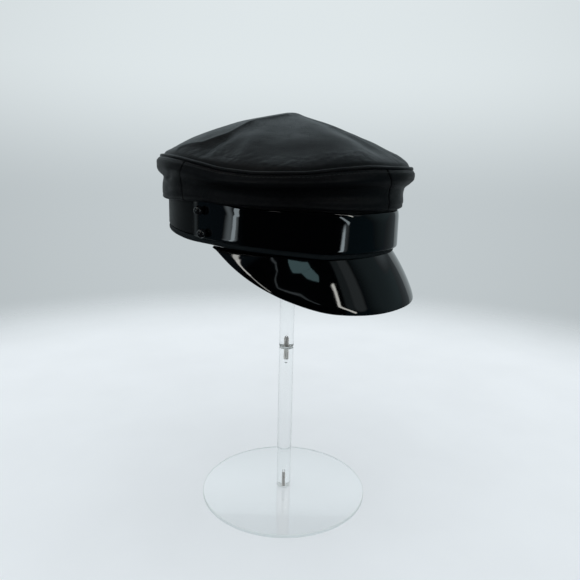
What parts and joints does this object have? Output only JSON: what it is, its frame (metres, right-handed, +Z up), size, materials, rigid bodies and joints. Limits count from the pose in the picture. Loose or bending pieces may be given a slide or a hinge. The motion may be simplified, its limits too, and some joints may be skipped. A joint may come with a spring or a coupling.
{
  "type": "leather navy cap on a clear hat stand",
  "caption": "Soft leather cap with a tented crown, patent strap and sloping patent peak, held up by a clear rod on a round foot.",
  "frame": {"origin": "middle of the underside of the stand's round foot, on the axis of the rod", "axes": "+Z up along the rod; -Y towards the cap's front and peak; -X towards the wearer's right side"},
  "size_m": [0.1966, 0.2282, 0.3399],
  "materials": {
    "clear_acrylic": "clear, polished",
    "stud_metal": "bright machined thread",
    "soft_leather": "soft satin black, finely creased",
    "smooth_leather": "smooth satin black",
    "patent_leather": "patent, high gloss black",
    "button_plastic": "glossy black"
  },
  "bodies": {
    "root": {"stand_base": "clear_acrylic", "lower_rod": "clear_acrylic", "upper_rod": "clear_acrylic", "foot_stud": "stud_metal", "joint_stud": "stud_metal", "crown_top": "soft_leather", "wall_front_right": "soft_leather", "wall_front_left": "soft_leather", "wall_back_right": "soft_leather", "wall_back_left": "soft_leather", "rim_piping": "soft_leather", "head_band": "smooth_leather", "bottom_welt": "smooth_leather", "patent_strap": "patent_leather", "peak": "patent_leather", "button_right_upper": "button_plastic", "button_right_lower": "button_plastic", "button_left_upper": "button_plastic", "button_left_lower": "button_plastic"}
  },
  "joints": []
}
